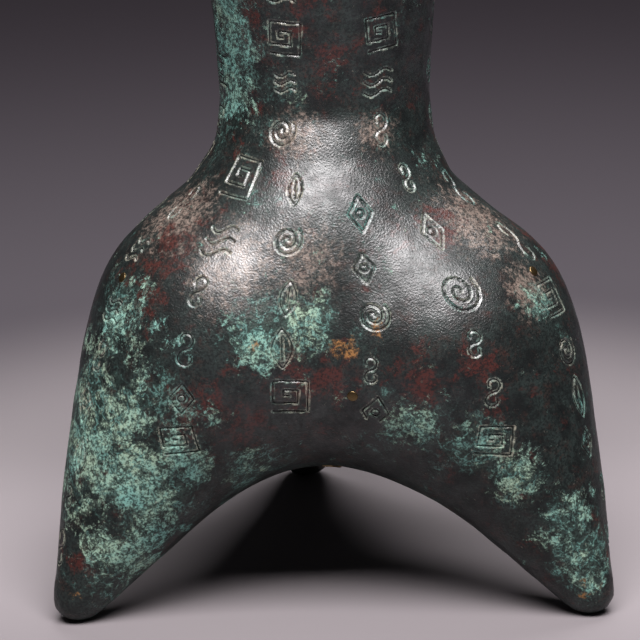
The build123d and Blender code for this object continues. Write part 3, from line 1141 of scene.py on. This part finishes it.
class POURER_OT_cup(bpy.types.Operator):
    """Mouth with spout, tail and bowstring ridges."""

    bl_idname = "pourer.cup"
    bl_label = "Cup"

    def execute(self, context):
        sizes, _, _ = settings()
        cup = copy_nodes("flaring_cup", ["cup"])
        even_skin(cup, sizes.cup_voxel, CASTING_ROUNDS)
        wobble(cup, sizes.hand_wobble)
        modify(cup, "DECIMATE", ratio=CUP_KEPT)
        finish_piece(cup, "waxed_bronze", "patinated_bronze", "cup")
        return {"FINISHED"}


class POURER_OT_handle(bpy.types.Operator):
    """Strap handle and its locks."""

    bl_idname = "pourer.handle"
    bl_label = "Handle"

    def execute(self, context):
        sizes, _, _ = settings()
        strap = copy_nodes("handle_strap", ["handle"])
        even_skin(strap, sizes.fitting_voxel, HANDLE_ROUNDS)
        finish_piece(strap, "waxed_bronze", "patinated_bronze", "handle")
        for node in ("handle_lock_upper", "handle_lock_lower"):
            lock = copy_nodes("cast_" + node, [node])
            even_skin(lock, sizes.fitting_voxel, LOCK_ROUNDS)
            modify(lock, "SMOOTH", factor=SMOOTH_IN, iterations=LOCK_ROUNDING)
            finish_piece(lock, "joining_bronze", "joining_bronze", node)
        return {"FINISHED"}


class POURER_OT_posts(bpy.types.Operator):
    """Rim posts and their caps; the pins stay as they are."""

    bl_idname = "pourer.posts"
    bl_label = "Posts and caps"

    def execute(self, context):
        sizes, _, _ = settings()
        for side in ("front", "back"):
            for word in ("post", "post_cap"):
                node = f"{word}_{side}"
                piece = copy_nodes("rim_" + node, [node])
                even_skin(piece, sizes.fitting_voxel, POST_ROUNDS)
                if word == "post_cap":
                    context.view_layer.update()
                    chase(piece, whorl_points(piece), sizes, sizes.fitting_voxel, WHORL_CUTS)
                finish_piece(piece, "waxed_bronze", "patinated_bronze", node)
        return {"FINISHED"}


def pin_places(casting):
    """Where each core pin comes out of the wall, and which way the wall faces there."""
    copy_nodes("pins", ["core_pins"])
    bpy.ops.object.mode_set(mode="EDIT")
    bpy.ops.mesh.separate(type="LOOSE")
    bpy.ops.object.mode_set(mode="OBJECT")
    found = []
    for pin in bpy.context.selected_objects:
        middle = Vector(read_points(pin).mean(axis=0))
        out = Vector((middle.x, middle.y, 0)).normalized()
        _, place, normal, _ = casting.closest_point_on_mesh(middle + out * PIN_REACH)
        found.append((place, normal))
    bpy.ops.object.delete()
    return found


class POURER_OT_spacers(bpy.types.Operator):
    """Core pins and chaplets that show in the wall."""

    bl_idname = "pourer.spacers"
    bl_label = "Spacers"

    def execute(self, context):
        sizes, _, _ = settings()
        heads = []
        for place, normal in pin_places(bpy.data.objects["belly_and_neck"]):
            turn = normal.to_track_quat("Z", "Y").to_euler()
            bpy.ops.mesh.primitive_uv_sphere_add(
                segments=PIN_SEGMENTS, ring_count=PIN_RINGS, radius=sizes.pin_radius,
                location=place, rotation=turn,
            )
            context.object.scale.z = sizes.spacer_rise / sizes.pin_radius
            heads.append(context.object)
        only(heads[0])
        for head in heads:
            head.select_set(True)
        bpy.ops.object.join()
        bpy.ops.object.transform_apply(location=True, rotation=True, scale=True)
        bpy.ops.object.shade_smooth()
        heads[0].name = "core_pin_heads"
        finish_piece(heads[0], "spacer_bronze", "spacer_bronze", "core_pins")

        squares = copy_nodes("chaplet_squares", ["bottom_chaplets"])
        modify(squares, "DISPLACE", strength=sizes.spacer_rise, mid_level=0.0)
        bpy.ops.object.shade_smooth_by_angle(angle=SHARP_EDGE)
        finish_piece(squares, "spacer_bronze", "spacer_bronze", "bottom_chaplets")
        return {"FINISHED"}


def add_softbox(plan):
    """Soft lamp that faces the belly."""
    turn = math.radians(plan.azimuth)
    rise = math.radians(plan.elevation)
    toward = Vector((math.sin(turn) * math.cos(rise), -math.cos(turn) * math.cos(rise), math.sin(rise)))
    place = Vector((0, 0, LAMP_AIM_Z)) + toward * plan.distance
    facing = toward.to_track_quat("Z", "Y").to_euler()
    bpy.ops.object.light_add(type="AREA", location=place, rotation=facing)
    lamp = bpy.context.object
    lamp.name = plan.name
    lamp.data.shape = "RECTANGLE"
    lamp.data.size = plan.width
    lamp.data.size_y = plan.height
    lamp.data.energy = plan.power
    lamp.data.color = LAMP_TINT


class POURER_OT_stage(bpy.types.Operator):
    """Floor, soft light and camera."""

    bl_idname = "pourer.stage"
    bl_label = "Stage"

    def execute(self, context):
        _, _, stage = settings()
        bpy.ops.object.select_all(action="DESELECT")
        bpy.ops.mesh.primitive_plane_add(size=FLOOR_SIZE, location=(0, 0, 0))
        floor = context.object
        # The floor's colour holds a painted pool of light and painted shade
        floor.name = "pale_floor"
        floor.data.materials.append(make_floor_material(stage))

        for plan in LAMPS:
            add_softbox(plan)

        world = bpy.data.worlds.new("studio_air")
        world.use_nodes = True
        background = world.node_tree.nodes["Background"]
        background.inputs["Color"].default_value = AIR_COLOUR
        background.inputs["Strength"].default_value = AIR_STRENGTH
        context.scene.world = world

        back = Vector((
            math.sin(stage.camera_azimuth) * math.cos(stage.camera_elevation),
            -math.cos(stage.camera_azimuth) * math.cos(stage.camera_elevation),
            math.sin(stage.camera_elevation),
        ))
        right = Vector((math.cos(stage.camera_azimuth), math.sin(stage.camera_azimuth), 0))
        up = back.cross(right)
        aim = right * stage.camera_shift_x + Vector((0, 0, stage.camera_aim_z))
        turned_right = right * math.cos(stage.camera_roll) + up * math.sin(stage.camera_roll)
        turned_up = up * math.cos(stage.camera_roll) - right * math.sin(stage.camera_roll)
        bpy.ops.object.camera_add(location=aim + back * stage.camera_distance)
        camera = context.object
        camera.rotation_euler = Matrix((turned_right, turned_up, back)).transposed().to_euler()
        camera.data.lens = stage.lens
        camera.data.sensor_width = SENSOR_WIDTH
        context.scene.camera = camera
        context.scene.view_settings.view_transform = "Standard"
        return {"FINISHED"}


OPERATORS = (
    POURER_OT_lower_casting,
    POURER_OT_cup,
    POURER_OT_handle,
    POURER_OT_posts,
    POURER_OT_spacers,
    POURER_OT_stage,
)


class POURER_PT_panel(bpy.types.Panel):
    """Buttons for the pieces and their sizes and colours."""

    bl_idname = "POURER_PT_panel"
    bl_label = "Bronze pourer"
    bl_space_type = "VIEW_3D"
    bl_region_type = "UI"
    bl_category = "Pourer"

    def draw(self, context):
        for group in settings():
            for key in group.__annotations__:
                self.layout.prop(group, key)
        for operator in OPERATORS:
            self.layout.operator(operator.bl_idname)


CLASSES = (PourerSizes, PourerColours, PourerStage) + OPERATORS + (POURER_PT_panel,)


def register():
    for item in CLASSES:
        bpy.utils.register_class(item)
    bpy.types.Scene.pourer_sizes = bpy.props.PointerProperty(type=PourerSizes)
    bpy.types.Scene.pourer_colours = bpy.props.PointerProperty(type=PourerColours)
    bpy.types.Scene.pourer_stage = bpy.props.PointerProperty(type=PourerStage)


def unregister():
    del bpy.types.Scene.pourer_sizes
    del bpy.types.Scene.pourer_colours
    del bpy.types.Scene.pourer_stage
    for item in reversed(CLASSES):
        bpy.utils.unregister_class(item)


def main():
    """Makes the whole scene."""
    register()
    bpy.ops.pourer.lower_casting()
    bpy.ops.pourer.cup()
    bpy.ops.pourer.handle()
    bpy.ops.pourer.posts()
    bpy.ops.pourer.spacers()
    bpy.ops.pourer.stage()


if __name__ == "__main__":
    main()
